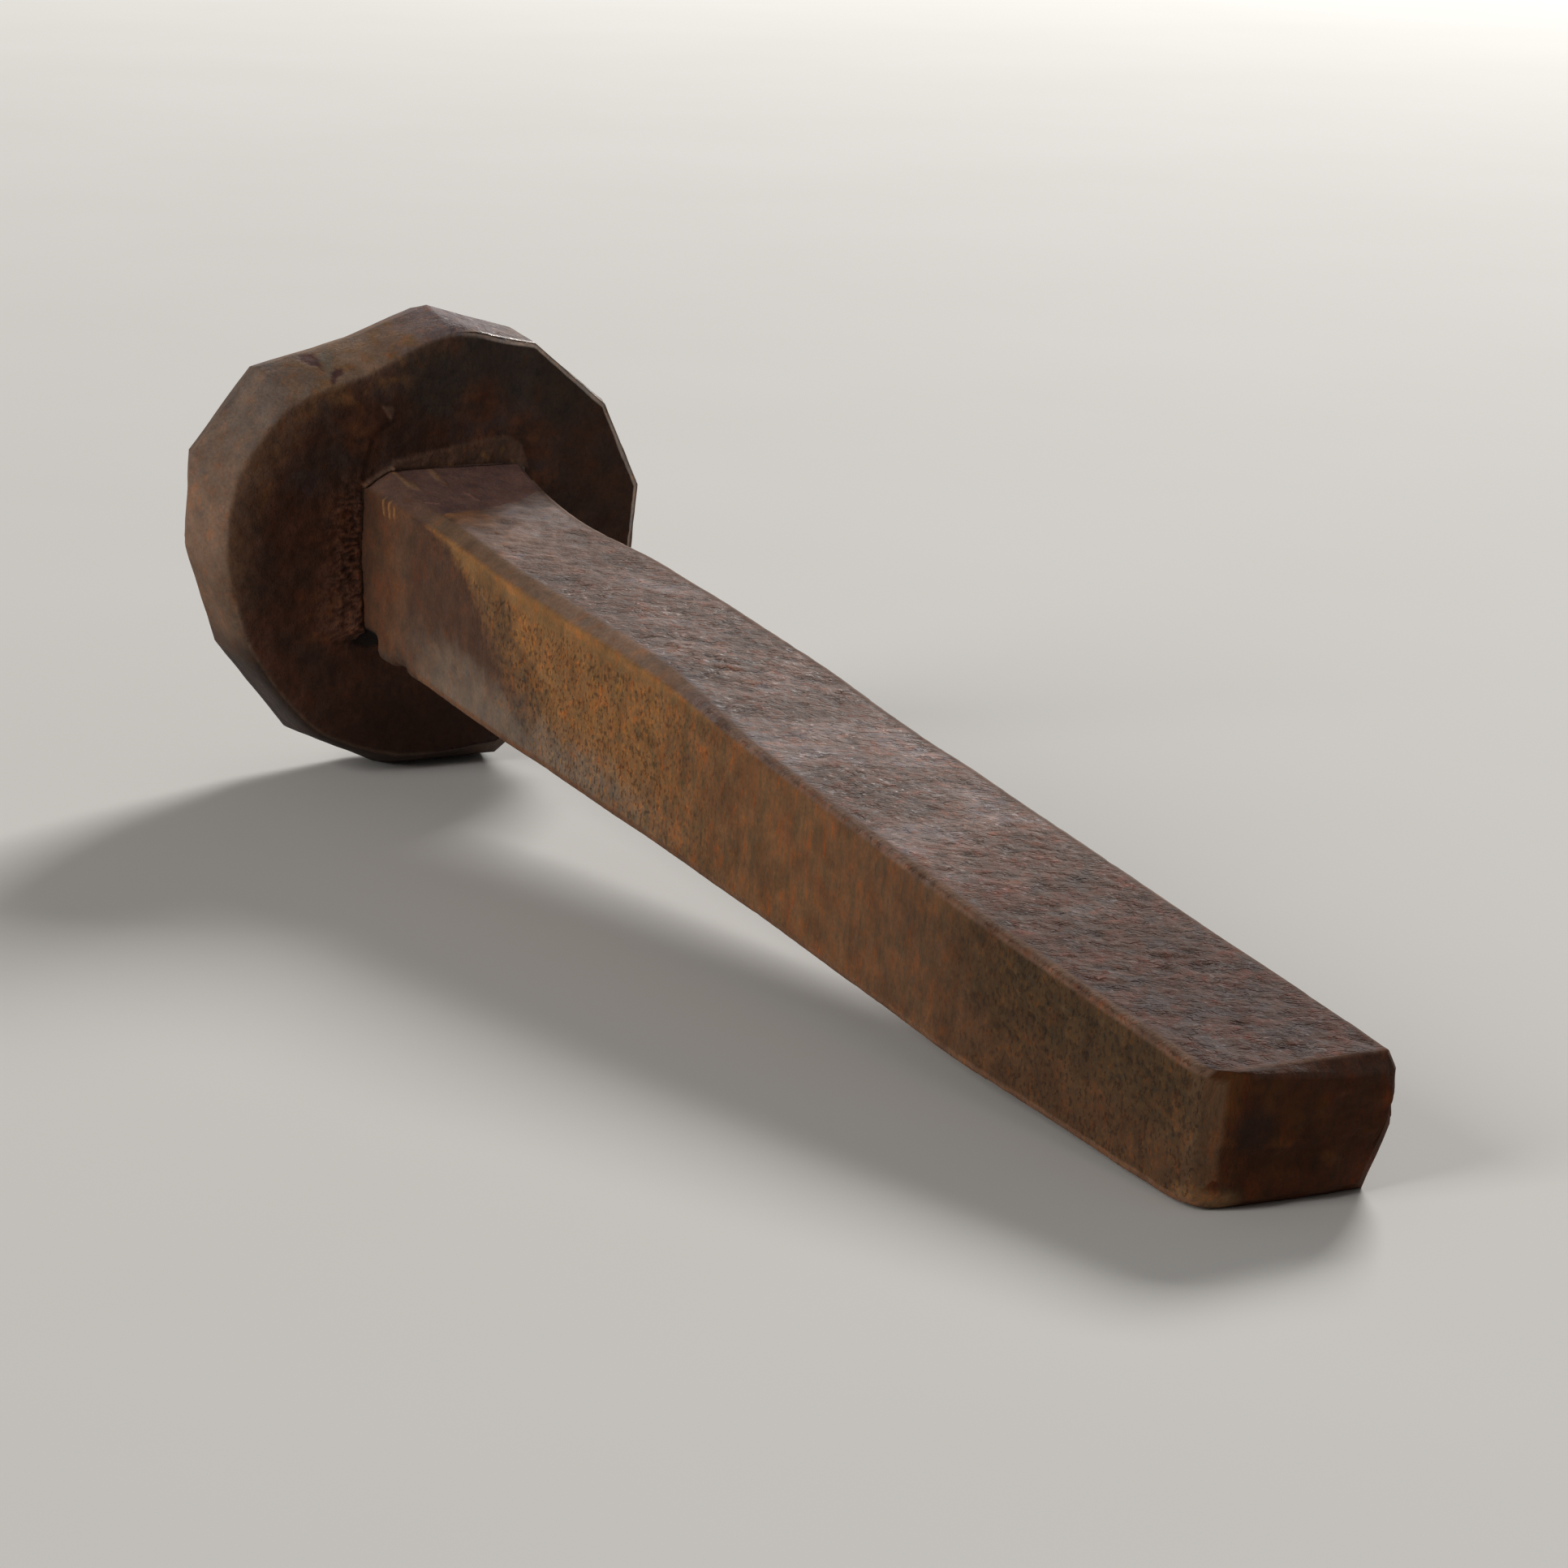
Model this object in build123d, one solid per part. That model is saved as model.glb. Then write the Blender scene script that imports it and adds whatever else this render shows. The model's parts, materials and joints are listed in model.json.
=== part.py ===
from build123d import *
import os
from math import atan2, cos, degrees, radians, sin

# Round-headed rail spike, hand forged in two pieces: a bar drawn down to a blunt chisel tip, and a
# hammered collar that sits on the bar's upper end, which is peened over to hold it.
# It is modelled with its axis along +X, towards the tip, with X = 0 on the underside of the head,
# and Y = -half width is its near side. Then it is laid down as it rests on a flat surface, on one
# facet of its head and on its tip. All sizes are in millimetres.

# Driving dimensions: shank
shank_length = 152.4      # from the underside of the head to the tip, 6 in
bar_side = 15.9           # the square bar that the shank is forged from, 5/8 in
belly_distance = 118.0    # where the drawn-down bar has spread the most
tip_width = 17.2
tip_height = 11.1
tip_lift = -0.3           # how far the tip's middle is above the bar's axis
tip_sway = 0.5            # and how far it is beaten over to the far side
tip_bevel = 1.1           # bevel round the end face

# Corner cuts of the bar's cross-section, as (across, up)
sharp_cut = (0.7, 0.7)    # the bar's long edges
worn_cut = (1.5, 1.0)     # near upper edge, up to the start of the taper
neck_cut = (2.6, 1.7)     # near upper edge at the root of the neck
flank_cut = (1.8, 5.0)    # far lower edge at the tip, where the flank is beaten in
shoulder_cut = (0.9, 1.6) # far upper edge at the tip
end_cut = (2.6, 1.6)      # near edges of the end face

# Sections of the bar: distance from the underside, width, height, lift of the middle, near upper cut
bar_sections = [
    (0.0, 17.2, 17.8, -0.4, neck_cut),              # flared root of the neck
    (9.0, 15.1, 16.6, -0.8, worn_cut),
    (18.0, 14.2, 16.8, -1.1, worn_cut),             # the waist
    (31.0, 16.4, 16.2, -0.4, worn_cut),
    (62.0, 15.6, bar_side, 0.0, worn_cut),          # from here to the tip the bar is drawn down
    (80.0, 16.5, 14.1, -0.2, sharp_cut),
    (belly_distance, 17.3, 12.7, -0.5, sharp_cut),
]

# Driving dimensions: head
head_radius = 23.2        # nominal, to the corners of the widest ring
head_height = 13.2        # from the underside to the striking face
rim_depth = 6.5           # how far behind the underside the head is widest
rim_break = 1.6           # depth of the bevel between the underside and the rim
break_share = 0.6         # and how far out the bevel reaches, as a share of the way to the widest ring
rest_facet_drop = 23.8    # from the axis to the rim facet that the spike lies on

# Driving dimensions: the joint between the two
throat_side = 13.2        # narrowest part of the eye
throat_depth = 9.0
peen_side = 15.6          # the shank's end, spread into the mouth of the eye

# Corners of the hammered rim, anticlockwise from +Y: angle about the axis, and shares of head_radius
# at the edge of the underside and at the widest ring.
upper_rim = [
    (14, 0.955, 1.00),
    (39, 0.955, 0.985),
    (66, 0.97, 0.975),
    (90, 0.955, 1.005),
    (110, 0.885, 0.94),
    (135, 0.985, 1.09),
    (159, 0.975, 1.12),
    (180, 0.955, 1.05),
    (205, 0.94, 0.995),
    (236, 0.96, 1.005),
]
rest_facet = [262, 290]
lower_rim = [(316, 0.95, 0.98), (342, 0.95, 0.99)]
rest_facet_edge = 0.93    # the facet's share of head_radius at the edge of the underside

# How the head closes in behind its widest ring: share of head_height, and share of the widest ring.
crown = [(0.78, 0.945), (0.93, 0.81), (1.0, 0.56)]


def outline_wire(x, outline):
    """Closed outline of (y, z) points in the plane at x."""
    return Wire.make_polygon([Vector(x, y, z) for y, z in outline], close=True)


def ruled_solid(wires):
    """Solid with straight sides from each outline to the next."""
    return Solid.make_loft(wires, ruled=True)


def bar_outline(width, height, lift, far_top, near_top, near_bottom, far_bottom):
    """Rectangle centred on z = lift, with its four corners cut off as (across, up) says."""
    half_w = width / 2
    top = lift + height / 2
    bottom = lift - height / 2
    return [
        (half_w, top - far_top[1]),
        (half_w - far_top[0], top),
        (near_top[0] - half_w, top),
        (-half_w, top - near_top[1]),
        (-half_w, bottom + near_bottom[1]),
        (near_bottom[0] - half_w, bottom),
        (half_w - far_bottom[0], bottom),
        (half_w, bottom + far_bottom[1]),
    ]


def edged_outline(width, height, lift=0.0, near_top=sharp_cut):
    """Section of the bar, with sharp edges but for the near upper one."""
    return bar_outline(width, height, lift, sharp_cut, near_top, sharp_cut, sharp_cut)


def polar_point(angle, radius):
    """(y, z) of a point at an angle in degrees from +Y towards +Z."""
    return (radius * cos(radians(angle)), radius * sin(radians(angle)))


def rim_ring(widest):
    """Corners of the head's widest ring, or of the edge of its underside."""
    facet_radii = [-rest_facet_drop / sin(radians(angle)) for angle in rest_facet]
    if not widest:
        facet_radii = [rest_facet_edge * head_radius for _ in rest_facet]
    share_index = 2 if widest else 1
    ring = [(corner[0], corner[share_index] * head_radius) for corner in upper_rim]
    ring += zip(rest_facet, facet_radii)
    ring += [(corner[0], corner[share_index] * head_radius) for corner in lower_rim]
    return [polar_point(angle, radius) for angle, radius in ring]


def between(ring_a, ring_b, share):
    """Ring part of the way from ring_a to ring_b."""
    return [(ya + share * (yb - ya), za + share * (zb - za)) for (ya, za), (yb, zb) in zip(ring_a, ring_b)]


def make_shank_bar():
    """The shank below the head, from the flared neck to the bevelled end face."""
    wires = [outline_wire(x, edged_outline(*section)) for x, *section in bar_sections]
    for inset, near_cut in [(tip_bevel, sharp_cut), (0.0, end_cut)]:
        shrink = 2 * (tip_bevel - inset)
        size = (tip_width - shrink, tip_height - shrink)
        end = bar_outline(*size, tip_lift, shoulder_cut, near_cut, near_cut, flank_cut)
        wires.append(outline_wire(shank_length - inset, [(y + tip_sway, z) for y, z in end]))
    return ruled_solid(wires)


def make_eye_plug():
    """The shank's upper end, inside the head: it narrows to the throat and spreads to the peened end."""
    wires = [
        outline_wire(0.0, edged_outline(*bar_sections[0][1:])),
        outline_wire(-throat_depth, edged_outline(throat_side, throat_side)),
        outline_wire(-head_height, edged_outline(peen_side, peen_side)),
    ]
    return ruled_solid(wires)


def make_head(eye):
    """The faceted collar, with an eye that the shank's upper end fills."""
    edge = rim_ring(widest=False)
    widest = rim_ring(widest=True)
    wires = [
        outline_wire(0.0, edge),
        outline_wire(-rim_break, between(edge, widest, break_share)),
        outline_wire(-rim_depth, widest),
    ]
    for depth_share, ring_share in crown:
        closed_in = [(ring_share * y, ring_share * z) for y, z in widest]
        wires.append(outline_wire(-depth_share * head_height, closed_in))
    return ruled_solid(wires) - eye


def corner_heights(solid, x_min, x_max):
    """(x, z) of the solid's corners between two planes."""
    corners = [vertex.center() for vertex in solid.vertices()]
    return [(p.X, p.Z) for p in corners if x_min <= p.X <= x_max]


def resting_tilt(head, shank):
    """Angle in degrees that the tip dips when head and tip lie on one plane."""
    rim = corner_heights(head, -head_height, 0.0)
    tip = corner_heights(shank, belly_distance, shank_length)
    return max(min(degrees(atan2(tz - rz, tx - rx)) for tx, tz in tip) for rx, rz in rim)


eye_plug = make_eye_plug()
shank = make_shank_bar() + eye_plug
head = make_head(eye_plug)

tilt = resting_tilt(head, shank)
laid = {"shank": Rot(Y=tilt) * shank, "head": Rot(Y=tilt) * head}
box = Compound(list(laid.values())).bounding_box()
origin = Vector(box.center().X, box.center().Y, box.min.Z)

os.makedirs("parts", exist_ok=True)
for name, solid in laid.items():
    export_step(Pos(*(-origin)) * solid, f"parts/{name}.step")

print(f"resting tilt {tilt:.3f} degrees")
print(f"centre of the underside {-origin.X:.4f}, {-origin.Y:.4f}, {-origin.Z:.4f}")
print(f"axis towards the tip {cos(radians(tilt)):.6f}, 0, {-sin(radians(tilt)):.6f}")
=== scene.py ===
import itertools
import json
from math import radians

import bmesh
import bpy
import numpy as np
from mathutils import Matrix, Vector
from mathutils.bvhtree import BVHTree


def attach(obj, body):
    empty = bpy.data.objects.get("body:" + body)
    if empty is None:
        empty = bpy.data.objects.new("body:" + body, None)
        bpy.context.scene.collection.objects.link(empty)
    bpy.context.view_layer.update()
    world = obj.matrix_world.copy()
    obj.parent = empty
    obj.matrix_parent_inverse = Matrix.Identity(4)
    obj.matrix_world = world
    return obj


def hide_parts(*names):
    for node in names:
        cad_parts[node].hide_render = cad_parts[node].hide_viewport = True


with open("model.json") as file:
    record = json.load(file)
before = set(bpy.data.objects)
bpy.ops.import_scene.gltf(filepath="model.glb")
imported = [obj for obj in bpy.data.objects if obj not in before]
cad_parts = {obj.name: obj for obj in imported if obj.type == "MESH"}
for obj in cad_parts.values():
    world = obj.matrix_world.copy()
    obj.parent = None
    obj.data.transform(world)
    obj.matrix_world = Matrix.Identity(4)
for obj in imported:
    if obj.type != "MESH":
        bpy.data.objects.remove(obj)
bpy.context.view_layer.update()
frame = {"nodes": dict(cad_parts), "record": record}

# A rusted, hand-forged rail spike: a square shank with a blunt tip, and a hammered round head.
# Both are rebuilt as fine grids on the surface of their CAD solids, worked over with forging marks,
# and painted. Shapes are worked out in the spike's own frame, in millimetres: x runs along the axis
# from the underside of the head towards the tip, y to the far side and z up.

MM = 0.001
rng = np.random.default_rng(1887)

mounts = {mount["name"]: mount for mount in frame["record"]["mounts"]}
seat = np.array(mounts["head_underside"]["pos_m"]) / MM
along = np.array(mounts["head_underside"]["axis"])
across = np.array([0.0, 1.0, 0.0])
spike_axes = np.array([along, across, np.cross(along, across)])
head_height = np.linalg.norm(np.array(mounts["striking_face"]["pos_m"]) / MM - seat)


def to_spike(points):
    """Points in the row frame, in metres, as points in the spike's frame."""
    return (np.asarray(points) / MM - seat) @ spike_axes.T


def to_row(points):
    """Points in the spike's frame as points in the row frame, in metres."""
    return (points @ spike_axes + seat) * MM


# ---------------------------------------------------------------------------------------------
# Noise and shapes to work the surface with
# ---------------------------------------------------------------------------------------------

TABLE_SIZE = 4096
gradients = rng.normal(size=(TABLE_SIZE, 3))
gradients /= np.linalg.norm(gradients, axis=1, keepdims=True)
jitter = rng.random((TABLE_SIZE, 3))
chance = rng.random(TABLE_SIZE)


def cell_key(cells, seed):
    """Row of the random tables that belongs to each lattice cell."""
    mixed = cells @ np.array([73856093, 19349663, 83492791]) + seed * 40503
    mixed = (mixed ^ (mixed >> 13)) * 1274126177
    return (mixed ^ (mixed >> 16)) % TABLE_SIZE


def noise(points, size, seed):
    """Smooth noise, about -1 to 1, with lumps of a size in mm: one number, or one for each axis."""
    scaled = points / size
    cell = np.floor(scaled).astype(np.int64)
    local = scaled - cell
    fade = local**3 * (local * (local * 6 - 15) + 10)
    total = np.zeros(len(points))
    for corner in itertools.product((0, 1), repeat=3):
        gradient = gradients[cell_key(cell + corner, seed)]
        weight = np.prod(np.where(corner, fade, 1 - fade), axis=1)
        total += weight * ((local - corner) * gradient).sum(axis=1)
    return 1.7 * total


def layered(points, size, seed, layers=3):
    """Noise with finer and fainter layers on top."""
    size = np.asarray(size, float)
    return sum(noise(points, size / 2**k, seed + k) / 2**k for k in range(layers)) / 1.5


def creased(points, size, seed, layers=2):
    """Ridges, 1 on a crest and towards 0 in between."""
    size = np.asarray(size, float)
    parts = [(1 - 2 * np.abs(noise(points, size / 2**k, seed + k))) / 2**k for k in range(layers)]
    return np.clip(sum(parts) / 1.5, -0.3, 1)


def pits(points, spacing, seed, share=0.5):
    """Round pits of mixed sizes, 1 at their deepest and 0 outside. Share is how many cells hold one."""
    scaled = points / spacing
    cell = np.floor(scaled).astype(np.int64)
    deepest = np.zeros(len(points))
    for step in itertools.product((-1, 0, 1), repeat=3):
        key = cell_key(cell + step, seed)
        radius = 0.55 * np.clip(1 - chance[key] / share, 0, 1) ** 0.5 + 1e-6
        away = np.linalg.norm(scaled - cell - step - jitter[key], axis=1)
        deepest = np.maximum(deepest, radius / 0.55 * np.clip(1 - (away / radius) ** 2, 0, 1))
    return deepest


def step_up(values, low, high):
    """0 below low, 1 above high and a smooth rise between."""
    t = np.clip((values - low) / (high - low), 0, 1)
    return t * t * (3 - 2 * t)


def bump_at(values, middle, half_width):
    """1 at the middle, falling smoothly to 0 at half_width to either side."""
    return 1 - step_up(np.abs(values - middle), 0, half_width)


def path_distance(a, b, path):
    """Distance in the plane from each (a, b) to a line through the points of path."""
    place = np.stack([a, b], axis=1)
    nearest = np.full(len(place), np.inf)
    for start, end in zip(path[:-1], path[1:]):
        start, run = np.array(start), np.array(end) - np.array(start)
        share = np.clip(((place - start) @ run) / (run @ run), 0, 1)
        nearest = np.minimum(nearest, np.linalg.norm(place - start - share[:, None] * run, axis=1))
    return nearest


def patch(a, b, outline, softness):
    """1 inside a closed outline, 0 outside, with an edge as soft as softness says."""
    closed = [*outline, outline[0]]
    inside = np.zeros(len(a), bool)
    for (a0, b0), (a1, b1) in zip(closed[:-1], closed[1:]):
        crosses = (b0 > b) != (b1 > b)
        inside ^= crosses & (a < a0 + (b - b0) / np.where(crosses, b1 - b0, 1) * (a1 - a0))
    signed = np.where(inside, 1, -1) * path_distance(a, b, closed)
    return step_up(signed, -softness, softness)


# ---------------------------------------------------------------------------------------------
# Meshes
# ---------------------------------------------------------------------------------------------


def cad_triangles(node):
    """Corners of a CAD node's triangles, in the spike's frame."""
    mesh = frame["nodes"][node].data
    mesh.calc_loop_triangles()
    places = to_spike([vertex.co for vertex in mesh.vertices])
    return places[np.array([triangle.vertices for triangle in mesh.loop_triangles])]


def grid_faces(index):
    """Four-sided faces between neighbouring rows and columns of a grid of vertex numbers."""
    quads = np.stack([index[:-1, :-1], index[:-1, 1:], index[1:, 1:], index[1:, :-1]], axis=-1)
    return quads.reshape(-1, 4)


def build_mesh(name, points, faces):
    """A closed smooth-shaded mesh, with its faces turned outwards."""
    mesh = bpy.data.meshes.new(name)
    mesh.from_pydata(to_row(points), [], faces.tolist())
    work = bmesh.new()
    work.from_mesh(mesh)
    bmesh.ops.recalc_face_normals(work, faces=work.faces)
    work.to_mesh(mesh)
    work.free()
    mesh.shade_smooth()
    return mesh


def mesh_normals(mesh):
    """The mesh's vertex normals in the spike's frame."""
    normals = np.zeros(len(mesh.vertices) * 3)
    mesh.vertices.foreach_get("normal", normals)
    return normals.reshape(-1, 3) @ spike_axes.T


def set_places(mesh, points):
    """Moves the mesh's vertices to points in the spike's frame, and keeps them above the floor."""
    places = to_row(points)
    places[:, 2] = np.maximum(places[:, 2], 0.0)
    mesh.vertices.foreach_set("co", places.ravel())
    mesh.update()


def store(mesh, name, values):
    """Keeps one number, place or colour for each vertex, for the material to read."""
    kinds = {1: ("FLOAT", "value"), 3: ("FLOAT_VECTOR", "vector"), 4: ("FLOAT_COLOR", "color")}
    kind, field = kinds[1 if values.ndim == 1 else values.shape[1]]
    mesh.attributes.new(name, kind, "POINT").data.foreach_set(field, values.ravel().astype(np.float32))


def add_piece(name, mesh, material, node):
    """Shows the mesh in place of a CAD node."""
    mesh.materials.append(material)
    piece = bpy.data.objects.new(name, mesh)
    bpy.context.scene.collection.objects.link(piece)
    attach(piece, "root")
    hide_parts(node)
    return piece


class Paint:
    """Colour of each vertex, laid on in washes."""

    def __init__(self, count, base):
        self.colour = np.tile(linear(base), (count, 1))

    def wash(self, colour, amount):
        """Covers what is there with a colour, by an amount from 0 to 1."""
        amount = np.clip(amount, 0, 1)[:, None]
        self.colour = self.colour * (1 - amount) + linear(colour) * amount

    def shade(self, factor):
        """Makes it lighter or darker by a factor."""
        self.colour = self.colour * factor[:, None]

    def layer(self):
        """The colours with an alpha of 1, as the mesh keeps them."""
        return np.hstack([self.colour, np.ones((len(self.colour), 1))])


def linear(colour):
    """A colour given as on a paint chart, 0 to 255, in the renderer's linear values."""
    share = np.asarray(colour, float) / 255
    return np.where(share <= 0.04045, share / 12.92, ((share + 0.055) / 1.055) ** 2.4)


def stroke(a, b, path, width):
    """1 along a line through the points of path, fading to 0 at half of width to either side."""
    return 1 - step_up(path_distance(a, b, path), 0.15 * width, 0.5 * width)


def blotches(a, b, spots, size, ragged):
    """1 in round spots, 0 outside, with an edge that is shifted in and out by ragged, in mm."""
    nearest = np.min([np.hypot(a - spot[0], b - spot[1]) for spot in spots], axis=0)
    return 1 - step_up(nearest + ragged, 0.5 * size, 1.2 * size)


# ---------------------------------------------------------------------------------------------
# Shank
# ---------------------------------------------------------------------------------------------

SIDE_STEPS = 50      # faces across each side of the bar
CUT_STEPS = 4        # faces across each cut corner
TIP_BEVEL = 1.1
TIP_TOP = 5.25       # z of the top where the bevel of the end face begins
RIDGE_END = 66       # x where the bevel of the near upper edge dies out
FOLD_TURN = radians(28.8)   # the folds on the top run this far from straight across

# Sides of the bar, numbered anticlockwise from its far side. The cut corners are the odd ones.
FAR_EDGE, TOP, RIDGE, NEAR, LOW_EDGE, PEENED_END, TIP_END = 1, 2, 3, 4, 5, 8, 9

# Marks on the top as (x, y), and on the near side as (x, z)
# The first outline, on the neck's top, is partly a painted shadow: the head's cast shadow, kept smooth and
# mauve
SMOOTH_NECK_SHADOW = [
    (-1, -9), (8.0, -9), (8.7, -7.0), (12.0, -5.7), (11.3, -1.1), (9.6, 3.6), (6.2, 7.8), (5, 9), (-1, 9),
]
TAN_FAN = [(0.2, -6.2), (0.2, -5.5), (2.4, -5.3), (4.0, -4.7), (5.6, -5.0), (4.2, -5.9), (2.8, -6.7)]
TAN_STREAK = [(0.2, -2.1), (0.2, -1.4), (2.4, -1.6), (4.6, -1.6), (2.6, -2.3)]
PINK_FLECKS = [[(8.4, -6.2), (8.5, -5.4), (9.0, -4.7)], [(6.3, -0.8), (7.1, -0.5), (8.6, -0.4)]]
TICKS = [[(3.8, 6.7), (4.0, 5.4)], [(4.8, 6.8), (5.1, 5.5)], [(5.8, 6.5), (6.1, 5.5)]]
SCRATCHES = [
    [(122.9, 1.9), (122.1, 3.8)],
    [(150.0, 0.9), (148.6, 3.0), (146.5, 5.8)],
    [(83.0, -4.6), (84.6, -3.2)],
]
BLUE_SPOTS = [(27.3, 5.2), (30.9, 3.1), (33.0, 0.6), (35.9, -1.2), (38.2, -3.2)]
ORANGE_LINE = [(9, 6.95), (18, 6.4), (26, 6.65), (35, 6.3), (59, 6.6), (68, 7.0), (90, 6.6)]
OCHRE_BAND = [(14, 6.2), (25, 4.9), (35, 5.1), (45, 5.5), (55, 5.8), (66, 6.3), (80, 6.5)]

# How far the torn lower edge of the neck is lifted, as (x, lift), and the planes that the near corner
# of the tip is beaten down to: a point on each, its direction and how softly it meets the rest.
TORN_EDGE = [
    (0.2, 0), (0.8, 0.9), (3.8, 2.2), (4.1, 0.1), (4.8, -0.15), (6.9, -0.2),
    (7.2, 0.3), (9.7, 0.3), (10, 0), (11, -0.15), (13, 0),
]
TIP_CUTS = [
    ((150.4, -8.1, 0), (0.81, -0.587, 0.05), 0.6),
    ((151.3, -7.2, -5.8), (0.45, -0.5, -0.75), 1.1),
]


def section_corners(triangles, x):
    """(y, z) of the eight corners of the bar's section at x, anticlockwise from its far side."""
    starts, ends = triangles, np.roll(triangles, -1, axis=1)
    crossing = (starts[..., 0] > x) != (ends[..., 0] > x)
    starts, ends = starts[crossing], ends[crossing]
    share = (x - starts[:, :1]) / (ends[:, :1] - starts[:, :1])
    points = (starts + share * (ends - starts))[:, 1:]
    corners = []
    for axis, sign, turn in ((0, 1, 1), (1, 1, -1), (0, -1, -1), (1, -1, 1)):
        side = points[sign * points[:, axis] > (sign * points[:, axis]).max() - 0.05]
        order = np.argsort(turn * side[:, 1 - axis])
        corners += [side[order[0]], side[order[-1]]]
    return np.array(corners)


def section_ring(corners):
    """Round a section, from the middle of its far upper cut: y, z, side, and how far in from its ends."""
    ring = []
    for k, corner in enumerate(corners):
        steps = SIDE_STEPS if k % 2 == 0 else CUT_STEPS
        shares = np.arange(steps)[:, None] / steps
        run = corners[(k + 1) % len(corners)] - corner
        inset = np.minimum(shares, 1 - shares) * np.linalg.norm(run)
        ring.append(np.hstack([corner + shares * run, np.full_like(shares, k), inset]))
    return np.roll(np.concatenate(ring), -(SIDE_STEPS + CUT_STEPS // 2), axis=0)


def cap_grid(ring, numbers, first_new):
    """Fills a ring with a square grid: the grid's vertex numbers and its new inner points."""
    n = len(ring) // 4
    sides = [np.take(ring, range(k * n, (k + 1) * n + 1), axis=0, mode="wrap") for k in range(4)]
    top, near, bottom, far = sides[0], sides[1], sides[2][::-1], sides[3][::-1]
    u = np.linspace(0, 1, n + 1)[:, None, None]
    v = np.linspace(0, 1, n + 1)[None, :, None]
    corners = (1 - u) * ((1 - v) * top[0] + v * bottom[0]) + u * ((1 - v) * top[-1] + v * bottom[-1])
    grid = (1 - v) * top[:, None] + v * bottom[:, None] + (1 - u) * far[None] + u * near[None] - corners
    index = np.zeros((n + 1, n + 1), int)
    wrap = lambda k: np.take(numbers, range(k * n, (k + 1) * n + 1), mode="wrap")
    index[:, 0], index[-1, :], index[:, -1], index[0, :] = wrap(0), wrap(1), wrap(2)[::-1], wrap(3)[::-1]
    index[1:-1, 1:-1] = first_new + np.arange((n - 1) ** 2).reshape(n - 1, n - 1)
    return index, grid[1:-1, 1:-1].reshape(-1, 3)


def eased(values, places, spread):
    """Values along a line, each averaged with its neighbours over a spread in mm."""
    weights = np.exp(-0.5 * ((places[:, None] - places[None]) / spread) ** 2)
    return np.tensordot(weights / weights.sum(axis=1, keepdims=True), values, axes=1)


def shank_grid():
    """The shank's surface, a tube of sections closed by a grid at each end.

    Gives its points, the side that each is on, how far in from the side's ends, and its faces."""
    triangles = cad_triangles("shank")
    tip = triangles[..., 0].max()
    hidden = np.linspace(-head_height, 0, 15)
    neck = np.arange(0.27, 12, 0.27)
    bar = np.linspace(12, tip - TIP_BEVEL, 358)
    bevel = np.linspace(tip - TIP_BEVEL, tip, 6)[1:]
    stations = np.concatenate([hidden, neck, bar, bevel])
    slices = np.clip(stations, -head_height + 0.001, tip - 0.001)
    corners = np.array([section_corners(triangles, x) for x in slices])
    drawn = (step_up(stations, 2, 8) * (1 - step_up(stations, tip - 14, tip - 5)))[:, None, None]
    corners = corners * (1 - drawn) + eased(corners, stations, 3.0) * drawn
    rings = np.array([section_ring(corner) for corner in corners])
    side, inset = rings[..., 2], rings[..., 3]
    inset = np.minimum(inset, np.abs(stations - (tip - TIP_BEVEL))[:, None])
    rings = np.dstack([np.broadcast_to(stations[:, None], side.shape), rings[..., :2]])
    numbers = np.arange(side.size).reshape(side.shape)
    points, faces = [rings.reshape(-1, 3)], [grid_faces(np.column_stack([numbers, numbers[:, 0]]))]
    sides, insets = [side.ravel()], [inset.ravel()]
    count = side.size
    for ring, row, code in ((rings[0], numbers[0], PEENED_END), (rings[-1], numbers[-1], TIP_END)):
        index, inner = cap_grid(ring, row, count)
        points.append(inner)
        faces.append(grid_faces(index))
        sides.append(np.full(len(inner), code))
        insets.append(np.linalg.norm(inner[:, None] - ring[None], axis=2).min(axis=1))
        count += len(inner)
    return *(np.concatenate(part) for part in (points, sides, insets, faces)), tip


def cut_off(points, through, direction, softness):
    """Presses the points beyond a plane back onto it, as a hammer would."""
    direction = np.array(direction) / np.linalg.norm(direction)
    beyond = (points - through) @ direction
    pressed = 0.5 * (beyond + np.hypot(beyond, softness)) - 0.1 * softness
    return points - np.maximum(pressed, 0)[:, None] * direction


def batter_ends(points, shaped, tip):
    """Tears the near lower edge of the neck, and rounds and beats off the near corner of the tip."""
    x, y, z = points.T
    torn = np.interp(x, *zip(*TORN_EDGE))
    low_near = step_up(-y, 4.8, 6.8) * step_up(-z, 7.0, 7.9)
    shaped[:, 2] += torn * low_near
    shaped[:, 1] += 0.4 * np.clip(torn, 0, 1.5) * low_near
    past_bevel = np.clip(x - (tip - TIP_BEVEL), 0, TIP_BEVEL)
    rounded = past_bevel * (1 + 0.56 * np.clip(-4.4 - y, 0, 1.5))
    filled = (1 - step_up(y, -6, 6)) * step_up(z, 0.8, TIP_TOP - rounded)
    shaped[:, 2] += np.minimum(0.95 * rounded, np.maximum(TIP_TOP - z, 0)) * filled
    dulled = (0.3 * layered(points, (6, 3.2, 3), 81, 2))[:, None] * (1, 0, 0.6)
    shaped = shaped + dulled * (x > 140)[:, None]
    for through, direction, softness in TIP_CUTS:
        shaped = cut_off(shaped, through, direction, softness)
    return shaped


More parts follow.
